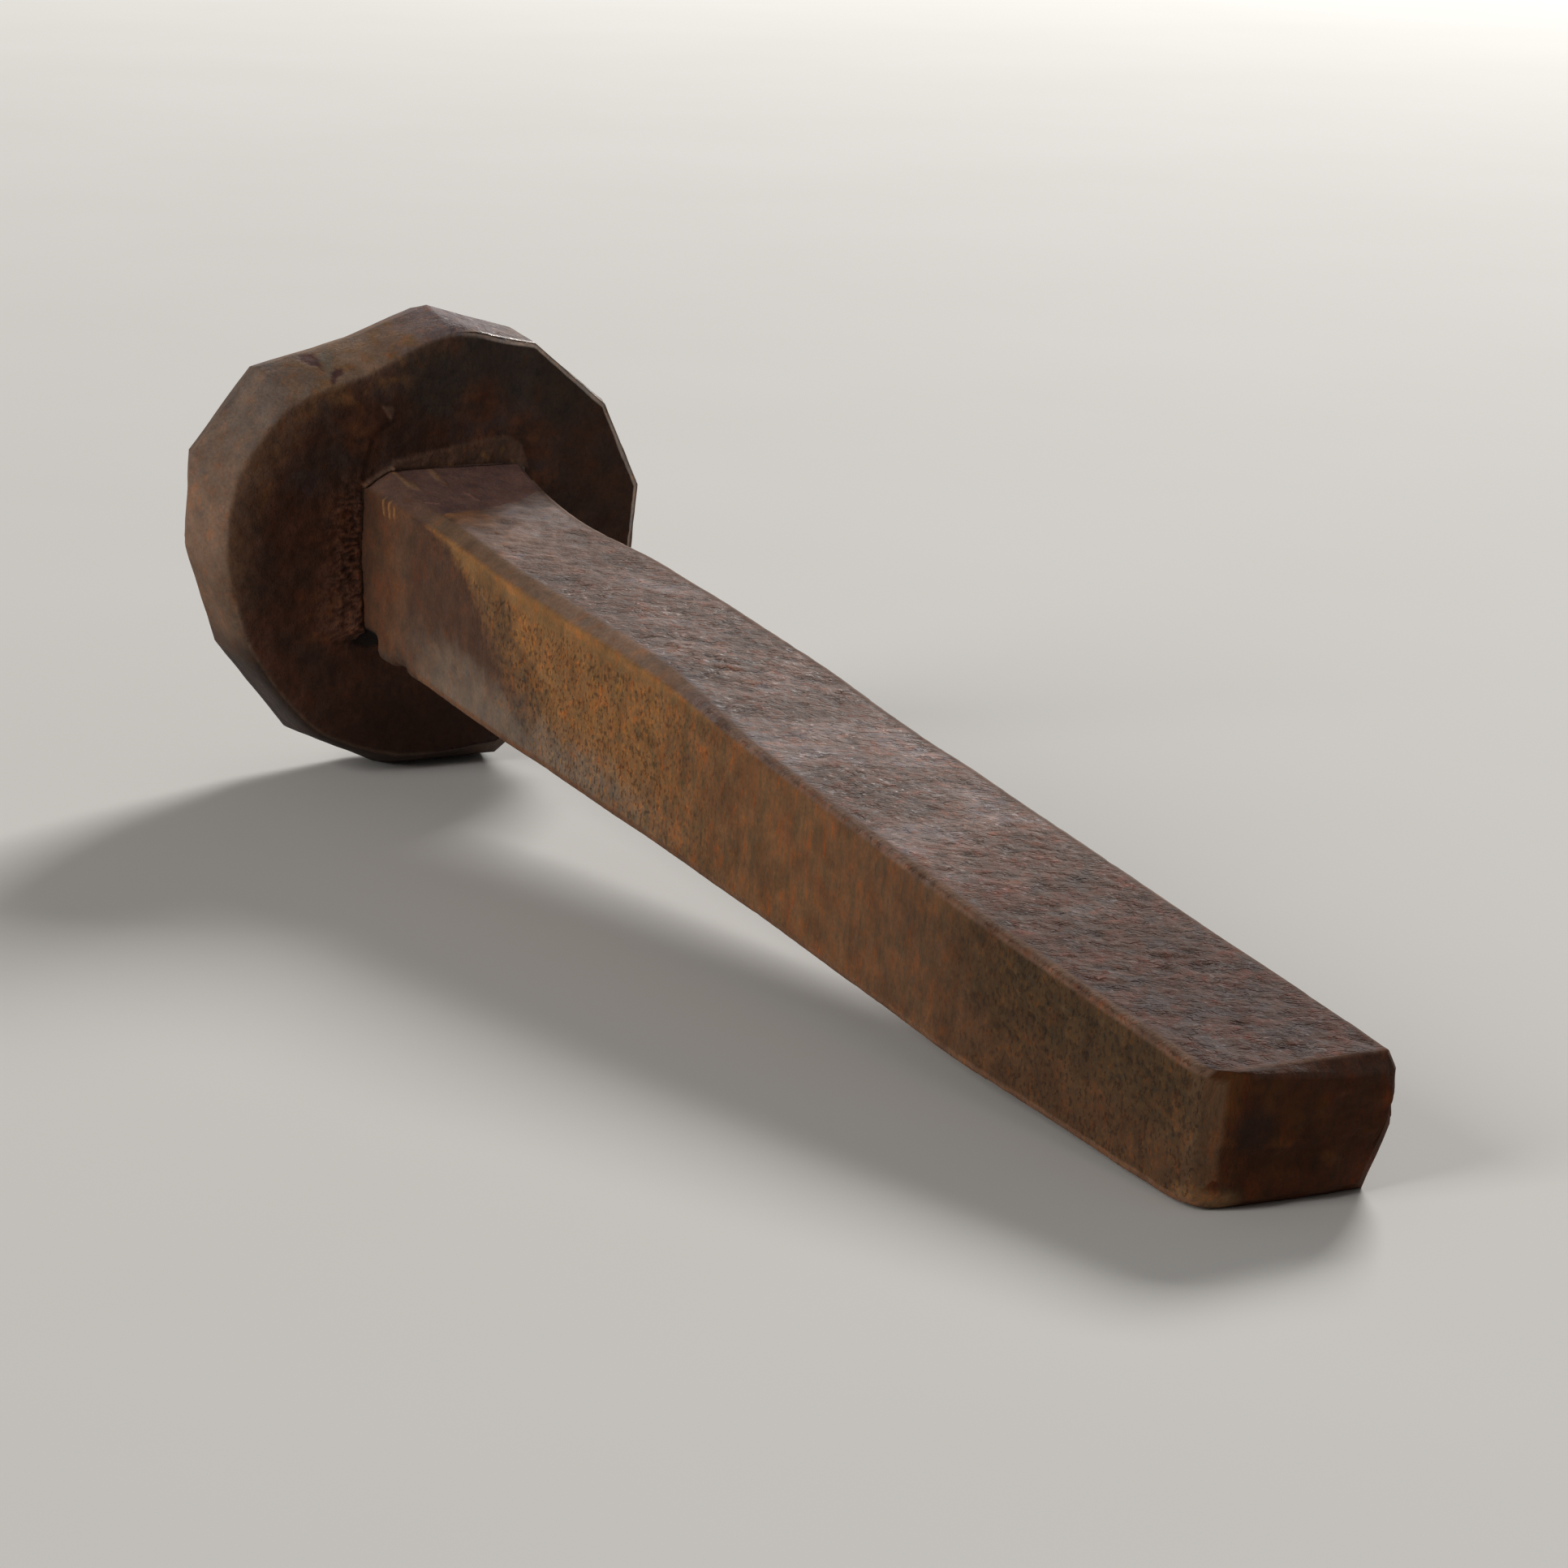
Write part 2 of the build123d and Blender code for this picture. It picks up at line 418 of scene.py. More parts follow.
def make_shank(material):
    """The bar: its grid, worked over with forging marks and rust, and its paint."""
    points, side, inset, faces, tip = shank_grid()
    mesh = build_mesh("shank_forged", points, faces)
    normals = mesh_normals(mesh)
    x, y, z = points.T
    seen = np.where(side == PEENED_END, 1.0, step_up(x, 0.0, 0.6))
    top, ridge, near = side == TOP, side == RIDGE, side == NEAR
    end = (side == TIP_END) | (x > tip - TIP_BEVEL + 0.1)
    top, ridge, near = top & ~end, ridge & ~end, near & ~end
    peened = side == PEENED_END
    other = ~(top | ridge | near | end | peened)
    flat = step_up(inset, 0.05, 0.9)
    edge = (side % 2 == 1) & ~end & ~peened & ~(ridge & (x < RIDGE_END)) & (x > 4)

    # Zones of the two sides that face up and out
    broad, mid = layered(points, 7, 71), layered(points, 2.6, 73)
    fine = layered(points, 0.9, 75, 2)
    smooth_neck_shadow = top * patch(x, y, SMOOTH_NECK_SHADOW, 0.12)
    topside = top + ridge * step_up(x, RIDGE_END - 4, RIDGE_END + 6)
    rough_top = topside * (1 - smooth_neck_shadow) * step_up(inset, 0.0, 0.5)
    line_z = np.interp(x, *zip(*ORANGE_LINE))
    band_z = np.interp(x, *zip(*OCHRE_BAND))
    ochre_start = np.interp(z, (-8, -3, 2, 7), (44, 36, 28, 16))
    ochre_start = ochre_start + 2.2 * mid + 2.0 * layered(points, 1.1, 85, 2)
    ochre = near * step_up(x - ochre_start, -4, 3) * (1 - step_up(x + 4 * mid, 56, 92))
    band = step_up(z + 0.7 * layered(points, 1.5, 87, 2), band_z - 0.6, band_z + 0.3)
    band *= near * step_up(x + mid, 13, 20) * (1 - step_up(x, 66, 90))
    olive = near * step_up(x + 3 * mid, 108, 128)

    # Relief along the normal
    height = 0.13 * layered(points, (18, 9, 9), 3, 2) + 0.22 * edge * step_up(inset, 0, 0.5)
    crosswise = points @ np.array(Matrix.Rotation(-FOLD_TURN, 3, "Z"))
    clusters = step_up(layered(points, (9, 6, 6), 17, 2), -0.1, 0.4)
    folds = rough_top * (0.25 + 0.75 * clusters) * (creased(crosswise, (1.4, 4.4, 2), 11, 2) - 0.35)
    folds += 0.5 * rough_top * (creased(points, 1.7, 13, 1) - 0.35)
    tip_folds = creased(crosswise, (1.0, 2.6, 1.4), 15, 1) - 0.35
    height += flat * rough_top * step_up(x, 90, 118) * 0.15 * tip_folds
    height += flat * (0.22 * folds + 0.14 * rough_top * layered(crosswise, (3.0, 4.5, 3), 21, 1))
    rough_tip = olive * step_up(z + 2.4 * mid, -3.5, 1.5)
    height += near * flat * (0.03 + 0.05 * ochre * (1 - band) + 0.17 * rough_tip) * fine
    height += near * flat * 0.07 * layered(points, 3.2, 45, 2)
    dark_pits = rough_tip * flat * pits(points, (1.2, 1.1, 0.8), 41, 0.7)
    height -= 0.2 * dark_pits + 0.06 * flat * ochre * (1 - band) * pits(points, 0.95, 43, 0.6)
    end_waves = layered(points, (3, 4.0, 2.2), 51, 3)
    height += end * (0.42 * end_waves - 0.16 * pits(points, 3.4, 53, 0.6)) * flat
    rough_other = flat * (other | peened)
    height += rough_other * (0.06 * layered(points, 1.7, 61, 3) - 0.12 * pits(points, 2.1, 63, 0.4))
    scratches = np.max([stroke(x, y, path, 0.7) for path in SCRATCHES], axis=0) * top
    height -= 0.09 * scratches
    nicks = (inset < 0.3) * step_up(noise(points, 1.6, 67), 0.2, 0.8)
    height -= 0.05 * nicks
    streaks = np.maximum(patch(x, y, TAN_FAN, 0.25), patch(x, y, TAN_STREAK, 0.2)) * top
    flecks = np.max([stroke(x, y, path, 0.5) for path in PINK_FLECKS], axis=0) * top
    ticks = np.max([stroke(x, z, path, 0.42) for path in TICKS], axis=0) * near
    height += 0.10 * streaks + 0.05 * ticks + 0.05 * flecks
    height += peened * (0.55 * step_up(inset, 0.2, 4.5) - 0.2 - 0.35 * pits(points, 5.5, 65, 0.8))
    shaped = points + normals * (height * seen)[:, None]
    set_places(mesh, batter_ends(points, shaped, tip))

    # Colour of the top, palest in the middle, where a pool of light and sheen is painted in, and darker
    # towards the tip
    paint = Paint(len(points), (112, 82, 64))
    paint.wash((98, 76, 66), step_up(broad, -0.1, 0.6))
    paint.wash((108, 78, 62), rough_top)
    # Painted pool of light and sheen along the middle of the top
    paint.wash((130, 106, 96), rough_top * np.interp(x, (20, 45, 72, 96, 120), (0, 0.6, 1, 0.6, 0)))
    paint.wash((126, 84, 66), rough_top * step_up(x, 70, 100) * step_up(mid, -0.3, 0.4) * 0.6)
    paint.wash((76, 48, 37), rough_top * step_up(x, 104, 140) * 0.9)
    cloud = layered(crosswise, (5, 8, 5), 77, 3)
    paint.wash((94, 66, 52), rough_top * step_up(-cloud, 0.0, 0.4) * (1 - step_up(x, 110, 140)) * 0.7)
    paint.wash((153, 134, 131), rough_top * step_up(cloud, 0.05, 0.45) * (1 - step_up(x, 104, 134)) * 0.75)
    paint.wash((104, 60, 44), rough_top * step_up(x, 96, 118) * step_up(mid, -0.1, 0.4) * 0.6)
    paint.wash((88, 78, 78), rough_top * step_up(x, 108, 124) * step_up(-mid, 0.1, 0.5) * 0.5)
    pale_side = rough_top * (1 - step_up(inset, 0.5, 2.4)) * step_up(-y, 3, 5) * bump_at(x, 72, 34)
    paint.wash((128, 116, 114), pale_side * 0.7)
    # Painted shadow of the head on the neck's top: a smooth mauve patch, darker in places
    paint.wash((122, 91, 83), smooth_neck_shadow)
    paint.wash((106, 80, 76), smooth_neck_shadow * step_up(mid, 0, 0.5) * 0.7)
    warm_start = rough_top * (1 - step_up(x - 3 * mid, 18, 36)) * step_up(-y - 2 * mid, -4, 2)
    paint.wash((126, 94, 75), warm_start * 0.85)
    paint.wash((142, 98, 64), rough_top * (1 - step_up(x, 13.5, 17)) * step_up(-y, -1, 4) * 0.8)
    paint.wash((140, 124, 118), rough_top * (1 - step_up(x, 13, 20)) * step_up(y, -2, 2) * 0.6)

    # Colour of the near flank: a brown neck, ochre, plain rust and an olive tip
    paint.wash((118, 84, 60), near)
    paint.wash((79, 51, 35), near * (1 - step_up(x, 0.5, 9)))
    paint.wash((94, 66, 51), near * step_up(x, 5, 11) * (1 - ochre))
    paint.wash((106, 66, 44), near * bump_at(x, 4.5, 3) * step_up(mid, -0.3, 0.3) * 0.7)
    paint.wash((150, 108, 68), ochre)
    paint.wash((164, 116, 62), ochre * step_up(mid, 0.0, 0.7) * 0.6)
    low_flank = near * step_up(x, 6, 20) * (1 - step_up(x, 46, 78)) * step_up(-z + 1.6 * mid, 1.8, 6.0)
    paint.wash((134, 116, 101), low_flank * 0.85)
    paint.wash((128, 91, 60), near * step_up(x, 60, 84) * (1 - olive))
    paint.wash((134, 80, 50), near * bump_at(x, 96, 24) * step_up(mid, 0.05, 0.6) * 0.5)
    paint.wash((112, 80, 56), near * step_up(x, 88, 110) * (1 - olive) * 0.8)
    specks = step_up(layered(points, 0.8, 79, 2), -0.2, 0.2)
    paint.wash((70, 58, 52), near * blotches(x, z, BLUE_SPOTS, 3.4, 1.6 * mid) * (0.4 + 0.6 * specks) * 0.6)
    paint.wash((94, 66, 43), olive)
    paint.wash((78, 60, 38), rough_tip * 0.7)
    paint.wash((116, 74, 44), olive * step_up(layered(points, 1.8, 83), 0.15, 0.6) * 0.5)
    paint.wash((44, 31, 22), np.clip(1.2 * dark_pits, 0, 0.5))
    paint.wash((120, 92, 62), rough_tip * step_up(fine, 0.3, 0.8) * 0.5)
    paint.wash((144, 108, 68), band * (1 - step_up(x, 70, 92)) * 0.75)

    # Colour of the bevel on the near upper edge, and of the line below it
    paint.wash((146, 117, 97), ridge * (1 - step_up(x, 60, 72)))
    paint.wash((122, 94, 72), ridge * (1 - step_up(x, 24, 48)))
    paint.wash((134, 104, 84), ridge * step_up(x, 66, 78) * 0.6)
    paint.wash((108, 80, 68), ridge * (1 - step_up(x + mid, 8, 14)))
    line = near * (1 - step_up(np.abs(z - line_z - 0.25 * mid), 0.1, 0.6))
    line = line * step_up(x, 10, 14) * (1 - step_up(x, 66, 100))
    paint.wash((166, 116, 68), line * (0.45 + 0.4 * step_up(broad, -0.4, 0.4)))

    # Colour of the end face and of the corners round it, with painted light on the tip's beaten-down near
    # corner
    paint.wash((62, 30, 3), end)
    paint.wash((78, 43, 6), end * step_up(mid, -0.1, 0.5) * 0.7)
    paint.wash((84, 44, 18), end * (1 - step_up(z, -4.5, -1.5)) * 0.6)
    paint.wash((98, 56, 18), end * step_up(end_waves, 0.1, 0.6) * 0.6)
    paint.wash((50, 28, 18), end * (1 - step_up(np.hypot(y + 3.9, z - 0.6), 0.8, 2.4)) * 0.8)
    paint.wash((104, 78, 56), step_up(x, tip - 3.2, tip - 1.8) * (side == NEAR) * 0.7)
    # Painted light on the beaten-down near corner of the tip, lifting the shade of its downward-facing facet
    tip_corner_light = step_up(x, tip - 4, tip - 2.5) * step_up(-z, 3.6, 4.8) * step_up(-y, 3.5, 5.5)
    paint.wash((130, 98, 66), tip_corner_light * 0.8)
    paint.wash((84, 56, 44), (side == TOP) * end * 0.9)

    # Colour of the other sides, the painted shadow in the notch under the neck, the painted highlight on the
    # far upper edge, and the marks
    paint.wash((84, 64, 50), other * 0.8)
    paint.wash((112, 76, 50), other * step_up(mid, 0.0, 0.6) * 0.5)
    # Painted shadow: near black in the notch under the neck, where only shade falls
    notch_shadow = (other | (side == NEAR)) * step_up(-y, 3, 5) * step_up(-z, 6.6, 7.0) * (x < 4)
    paint.wash((16, 10, 7), notch_shadow * 0.95)
    # Painted highlight along the far upper edge
    paint.wash((138, 114, 102), (side == FAR_EDGE) * ~end * 0.9)
    paint.wash((136, 98, 72), (side == LOW_EDGE) * ~end * (x > 12) * 0.8)
    paint.wash((72, 58, 50), peened * 0.9)
    paint.wash((164, 116, 70), ticks)
    paint.wash((158, 120, 86), streaks * (0.55 + 0.4 * step_up(fine, -0.3, 0.5)))
    paint.wash((166, 120, 104), flecks * 0.8)
    # Painted shade in the valleys of the folds and painted light on their crests, and darker along the
    # scratches
    paint.shade(1 + 0.6 * folds - 0.25 * scratches)

    # What the material reads
    store(mesh, "tint", paint.layer())
    store(mesh, "spike", points)
    store(mesh, "grained", rough_top * (1 - 0.6 * warm_start) * (0.45 + 0.55 * step_up(x, 16, 44)))
    sprinkled = near * step_up(x - ochre_start, -16, 2) * (1 - step_up(x, 60, 95))
    speckled = np.maximum(ochre, 0.7 * sprinkled) * (1 - band)
    store(mesh, "speckled", np.clip(speckled + 0.8 * olive + 0.45 * other + 0.3 * end, 0, 1))
    streaked = near * (1 - olive) * np.interp(x, (0, 20, 45, 70), (0.8, 0.3, 0.4, 1))
    store(mesh, "streaked", np.clip(streaked + 0.8 * end, 0, 1))
    store(mesh, "worn", top * rough_top * (0.5 - 0.27 * step_up(x, 96, 130)) + 0.3 * smooth_neck_shadow)
    add_piece("shank_forged", mesh, material, "shank")


# ---------------------------------------------------------------------------------------------
# Head
# ---------------------------------------------------------------------------------------------

TURN_STEP = 0.6      # degrees between columns of the head's grid
FINE_STEP = 0.26     # mm between its rows
COARSE_STEP = 1.2    # and inside the eye
THROAT = -9.0        # x of the narrowest part of the eye
EDGE_CUT = 0.45      # cut on the edge of the underside
EYE_REACH = 12.2     # the eye's corners are nearer the axis than this

# Marks on the underside as (y, z), one of them a painted shadow in a hollow, and laps of metal on the upper
# rim as (x, y), whose outlines carry painted shadow and sheen
FLASH = [(-6.0, 8.2), (-5.6, 9.5), (-0.4, 10.4), (4.4, 11.3), (6.6, 11.5), (8.2, 10.5), (9.1, 8.0)]
HOLLOW_SHADOW = [(-9.4, -9.0), (-7.4, -6.9), (-7.2, -9.6)]
CURL = [(-8.6, 7.2), (-7.5, 7.8), (-6.8, 8.3), (-5.7, 8.8)]
CHIP = [(-7.2, 15.1), (-5.8, 14.9), (-6.0, 13.4)]
CREASE = [(-6.0, 13.4), (-7.1, 12.7), (-7.7, 11.9), (-8.2, 10.3), (-8.6, 7.8)]
LAP_SHADOW = [
    (-6.3, -13.6), (-5.7, -12.2), (-4.7, -12.2), (-2.5, -12.4), (-3.5, -12.7), (-3.8, -13.3), (-5.4, -13.8),
]
SMALL_LAP_SHADOW = [
    (-0.9, -12.2), (-2.0, -11.8), (-2.3, -11.2), (-2.0, -10.6), (-1.4, -10.8), (-1.3, -11.5), (-0.8, -11.8),
]
LAP_SHEEN = [(-5.4, -12.0), (-5.2, -10.2), (-2.6, -11.4), (-1.3, -12.2), (-2.6, -12.3)]
GOLD = [(-13.8, 17.0), (-10.2, 17.2), (-9.6, 19.4), (-5.8, 18.4), (-4.7, 20.8)]
GOLD_EDGE = [(-13.0, 16.2), (-17.0, 12.4), (-19.4, 7.6), (-21.2, 3.5)]
ORANGE = [(3.2, 14.6), (4.3, 12.1), (7.9, 11.0), (-9.5, 12.5), (-12, 3), (-13, -6), (9.8, 7.0)]
BLACKENED = [(-4.2, 21.7), (3.7, 20.3), (-0.4, 17.2), (12.9, 15.8), (8, 18)]


def rim_levels(triangles):
    """x of each ring of corners on the outside of the head, from the underside back."""
    places = triangles.reshape(-1, 3)
    outer = places[np.hypot(places[:, 1], places[:, 2]) > EYE_REACH]
    levels, counts = np.unique(np.round(outer[:, 0], 2), return_counts=True)
    return [x for x in levels[::-1] if counts[levels == x] >= 60]


def head_turns(triangles):
    """Angles of the head's columns, in degrees: one on each rim corner, the rest spread between."""
    places = triangles.reshape(-1, 3)
    rim = places[(np.abs(places[:, 0]) < 0.01) & (np.hypot(places[:, 1], places[:, 2]) > 16)]
    corners = np.unique(np.round(np.degrees(np.arctan2(rim[:, 2], rim[:, 1])) % 360, 1))
    turns = []
    for start, end in zip(corners, np.append(corners[1:], corners[0] + 360)):
        steps = max(1, round((end - start) / TURN_STEP))
        turns.append(start + (end - start) * np.arange(steps) / steps)
    return np.concatenate(turns)


def radius_at(tree, x, turns, outside):
    """The head's radius at x in each direction: its rim, or else the wall of its eye."""
    radii = []
    for turn in np.radians(turns):
        way = Vector((0, np.cos(turn), np.sin(turn)))
        start, way = (way * 60, -way) if outside else (way * 0, way)
        hit = tree.ray_cast(start + Vector((x, 0, 0)), way)[0]
        radii.append(np.hypot(hit.y, hit.z))
    return np.array(radii)


def worn_round(radii, turns, spread):
    """Radii round the axis, averaged over a spread in degrees."""
    apart = (turns[:, None] - turns[None] + 180) % 360 - 180
    weights = np.exp(-0.5 * (apart / spread) ** 2)
    return weights @ radii / weights.sum(axis=1)


def head_grid():
    """The head's surface: a profile through the eye, carried round the axis, and its faces."""
    triangles = cad_triangles("head")
    corners = np.arange(len(triangles) * 3).reshape(-1, 3)
    tree = BVHTree.FromPolygons(triangles.reshape(-1, 3).tolist(), corners.tolist())
    turns = head_turns(triangles)
    low, high = -head_height + 0.002, -0.002
    near_share = 1 - step_up(np.cos(np.radians(turns)), -0.05, 0.4)
    rims = []
    for x in rim_levels(triangles):
        radii = radius_at(tree, np.clip(x, low, high), turns, True)
        if x > -3:
            radii = radii - 1.1 * bump_at(turns, 119, 24) + 0.5 * bump_at(turns, 88, 12)
            radii = radii + near_share * (worn_round(radii, turns, 8) - radii)
        rims.append((x, radii))
    (_, edge), (bevel_x, bevel) = rims[:2]
    rims[0] = (0.0, edge - EDGE_CUT)
    rims.insert(1, (-EDGE_CUT, edge - EDGE_CUT / bevel_x * (bevel - edge)))
    eye_front = (0.0, radius_at(tree, high, turns, False))
    eye_throat = (THROAT, radius_at(tree, THROAT, turns, False))
    eye_back = (-head_height, radius_at(tree, low, turns, False))
    profile = [eye_front, *rims, eye_back, eye_throat, eye_front]
    rows = []
    for k, ((x0, r0), (x1, r1)) in enumerate(zip(profile[:-1], profile[1:])):
        inside_eye = k >= len(profile) - 3
        length = np.hypot(x1 - x0, np.mean(r1 - r0))
        steps = max(2, round(length / (COARSE_STEP if inside_eye else FINE_STEP)))
        for share in np.arange(steps) / steps:
            x = np.full(len(turns), x0 + share * (x1 - x0))
            rows.append(np.column_stack([x, r0 + share * (r1 - r0)]))
    rows = np.array(rows)
    path = np.cumsum(np.r_[0, np.linalg.norm(np.diff(rows, axis=0), axis=2).mean(axis=1)])
    on_edge = ((rows[..., 1] > 16) & (rows[..., 0] > -5.5)) * near_share
    worn = np.minimum(on_edge, step_up(rows[..., 1], 16, 18) * step_up(rows[..., 0], -6, -4))[..., None]
    rows = rows * (1 - worn) + eased(rows, path, 1.5) * worn
    x, radii = rows[..., 0], rows[..., 1]
    points = np.dstack([x, radii * np.cos(np.radians(turns)), radii * np.sin(np.radians(turns))])
    numbers = np.arange(x.size).reshape(x.shape)
    closed = np.vstack([numbers, numbers[:1]])
    return points.reshape(-1, 3), grid_faces(np.column_stack([closed, closed[:, 0]]))


def make_head(material):
    """The collar: its grid, worked over with hammer marks and rust, and its paint."""
    points, faces = head_grid()
    mesh = build_mesh("head_hammered", points, faces)
    normals = mesh_normals(mesh)
    x, y, z = points.T
    radius = np.hypot(y, z)
    in_eye = (x < -0.01) & (x > -head_height + 0.01) & (radius < EYE_REACH)
    under = step_up(normals[:, 0], 0.72, 0.92) * (x > -2)
    face = step_up(-normals[:, 0], 0.75, 0.95)
    rim = np.clip(1 - under - face, 0, 1)
    neck_distance = np.maximum(np.abs(y) - 8.6, np.abs(z + 0.4) - 8.9)
    eye_distance = np.abs(np.maximum(np.abs(y), np.abs(z)) - 7.8)
    broad, mid, fine = layered(points, 7, 171), layered(points, 3, 173), layered(points, 0.9, 175, 2)

    # Relief along the normal
    height = 0.22 * layered(points, 9, 103, 2) * (1 - 0.5 * rim)
    coarse_zone = under * step_up(-y, 7.6, 9) * (1 - step_up(-y, 9.5, 14))
    coarse_zone = coarse_zone * step_up(z, -11, -7) * (1 - step_up(z, 5, 9))
    coarse = creased(points, (2, 1.0, 0.7), 111, 2) - 1.0 * pits(points, 1.1, 113, 0.6)
    rust_lumps = 0.17 * layered(points, 1.8, 121, 3) + 0.09 * fine
    height += under * (rust_lumps - 0.08 * pits(points, 1.6, 123, 0.4))
    height += coarse_zone * (0.22 * coarse + 0.1)
    height += rim * (0.04 * layered(points, 2.2, 131, 2) - 0.10 * pits(points, 4.5, 133, 0.5))
    face_dents = 0.25 * layered(points, 6, 143, 2) - 0.35 * pits(points, 5.5, 141, 0.8)
    height += face * (face_dents - 0.3 * (1 - step_up(eye_distance, 0.1, 1.0)))
    ghost = patch(y, z, FLASH, 0.12) * under
    curl = stroke(y, z, CURL, 0.6) * under
    chip = patch(y, z, CHIP, 0.15) * under
    crease = stroke(y, z, CREASE, 0.9) * under
    upper_rim = rim * (z > 12)
    lap_dent_and_shadow = np.maximum(patch(x, y, LAP_SHADOW, 0.15), patch(x, y, SMALL_LAP_SHADOW, 0.15)) * upper_rim
    lap_sheen = patch(x, y, LAP_SHEEN, 0.3) * upper_rim
    height += 0.25 * ghost + 0.3 * curl + 0.3 * chip - 0.12 * crease - 0.08 * lap_dent_and_shadow
    angle = np.degrees(np.arctan2(z, y)) % 360
    cracks = np.max([bump_at(angle + 4 * mid, turn, 2.2) for turn in (38, 128, 205, 306)], axis=0)
    cracks *= face * (1 - step_up(radius, 12, 17))
    height -= 0.4 * cracks
    build_up = np.interp(z, (-8.6, -7.9, -7.3, -5.0, -1.2, 0.5), (0, 0.8, 1.8, 1.2, 0.4, 0))
    at_eye = (x > -0.01) & (radius < EYE_REACH)
    build_up *= np.maximum(under, at_eye) * step_up(-y, 7.4, 8.4) * (1 - step_up(-y, 8.6, 13.5))
    shaped = points + normals * (height * ~in_eye)[:, None] + build_up[:, None] * (1, 0.10, 0)
    set_places(mesh, shaped)

    # Colour of the underside
    paint = Paint(len(points), (104, 78, 62))
    islands = step_up(layered(points, 1.5, 177, 3), -0.25, 0.45)
    paint.wash((75, 45, 31), under)
    paint.wash((83, 50, 36), under * step_up(mid, -0.1, 0.6) * 0.7)
    grey_clouds = step_up(layered(points, 5, 179, 3), -0.1, 0.4) * step_up(z, -4, 10)
    paint.wash((78, 60, 56), under * grey_clouds * 0.75)
    paint.wash((60, 44, 37), under * step_up(broad, -0.1, 0.5) * 0.6)
    paint.wash((60, 50, 43), under * blotches(y, z, BLACKENED, 4.2, 1.6 * mid) * 0.85)
    paint.wash((62, 33, 20), under * (1 - step_up(neck_distance, 0.5, 5)) * (1 - step_up(z, 2, 9)) * 0.7)
    # Painted shade on the lowest part of the underside, beneath the neck
    paint.wash((43, 22, 9), under * step_up(-z, 10, 18) * step_up(y, -14, -4) * 0.75)
    paint.wash((60, 42, 30), under * step_up(y, 8, 14) * step_up(z, -4, 4) * 0.5)
    # Painted shade in the coarse zone's hollows and painted highlights on its crests
    paint.wash((68, 38, 26), coarse_zone * step_up(-coarse, -0.4, 0.3) * 0.6)
    paint.wash((128, 84, 62), coarse_zone * step_up(coarse, 0.3, 0.8) * 0.55)

    # Colour of the rim
    paint.wash((132, 106, 88), rim * step_up(-y, -6, 8))
    paint.wash((124, 107, 99), rim * step_up(y, -8, 4))
    paint.wash((134, 118, 120), rim * bump_at(angle, 84, 26) * 0.8)
    paint.wash((148, 114, 86), rim * step_up(-y, 14, 20) * step_up(mid, 0.1, 0.6) * 0.4)
    paint.wash((116, 104, 96), rim * bump_at(angle, 140, 28) * 0.7)
    paint.wash((104, 80, 62), rim * step_up(angle, 176, 190) * (1 - step_up(angle, 300, 340)) * 0.8)
    # Painted shade on the rim's lower left and bottom, which face down
    paint.wash((40, 25, 17), rim * step_up(angle, 196, 212) * (1 - step_up(angle, 300, 340)) * 0.9)
    paint.wash((146, 122, 104), rim * bump_at(angle, 118, 16) * 0.7)
    # Painted highlight along the cut edge of the underside, on its upper and far side
    edge_highlight = rim * step_up(x, -0.9, -0.5) * step_up(y, -2, 5) * step_up(z, -12, 2)
    paint.wash((214, 196, 184), edge_highlight)

    # Bright rust where rim and underside meet, and the marks on both, with painted shadows, painted light
    # and painted highlights among them
    gold = stroke(y, z, GOLD, 6.0) * (x > -9)
    paint.wash((138, 100, 62), (under + rim) * gold * islands * (0.5 + 0.25 * rim))
    paint.wash((112, 72, 44), under * stroke(y, z, GOLD_EDGE, 4.0) * islands * 0.6)
    paint.wash((112, 68, 38), under * blotches(y, z, ORANGE, 3.0, 1.2 * mid) * islands * 0.5)
    # Painted shadow: near black in the hollow beside the neck's near lower corner
    paint.wash((18, 10, 6), patch(y, z, HOLLOW_SHADOW, 0.25) * under * 0.95)
    # Painted light on the outer band of the underside, where it rounds over into the rim
    outer_band_light = under * step_up(radius, 18.5, 21.5) * step_up(-y, -3, 5) * step_up(z, -10, 0)
    paint.wash((104, 76, 56), outer_band_light * 0.6)
    paint.wash((100, 74, 60), ghost)
    paint.wash((138, 104, 62), ghost * step_up(noise(points, 1.1, 181), 0.3, 0.6) * 0.6)
    # Pale tan on the curl and the chip, partly painted highlight on their raised lips
    paint.wash((150, 118, 96), curl * 0.7 + chip * 0.3)
    paint.wash((116, 106, 92), lap_sheen * 0.7)
    # Painted shadow under the laps of metal, dark purple where the surface is also pressed in
    paint.wash((88, 60, 58), lap_dent_and_shadow * 0.95)
    paint.wash((40, 22, 14), crease * 0.4)

    # Colour of the striking face
    paint.wash((82, 66, 58), face)
    paint.wash((104, 88, 78), face * step_up(mid, 0, 0.5) * 0.6)
    paint.wash((50, 34, 26), face * (1 - step_up(eye_distance, 0.15, 0.7)) * 0.8 + cracks * 0.8)

    # What the material reads
    store(mesh, "tint", paint.layer())
    store(mesh, "spike", points)
    store(mesh, "grained", rim * (0.25 + 0.6 * bump_at(angle, 78, 30)))
    store(mesh, "speckled", np.clip(0.35 * under + 0.1 * rim + 0.3 * coarse_zone + 0.4 * face, 0, 1))
    store(mesh, "streaked", 0.35 * rim)
    store(mesh, "worn", 0.45 * rim + 0.4 * face + 1.1 * edge_highlight)
    add_piece("head_hammered", mesh, material, "head")


# ---------------------------------------------------------------------------------------------
# Materials
# ---------------------------------------------------------------------------------------------


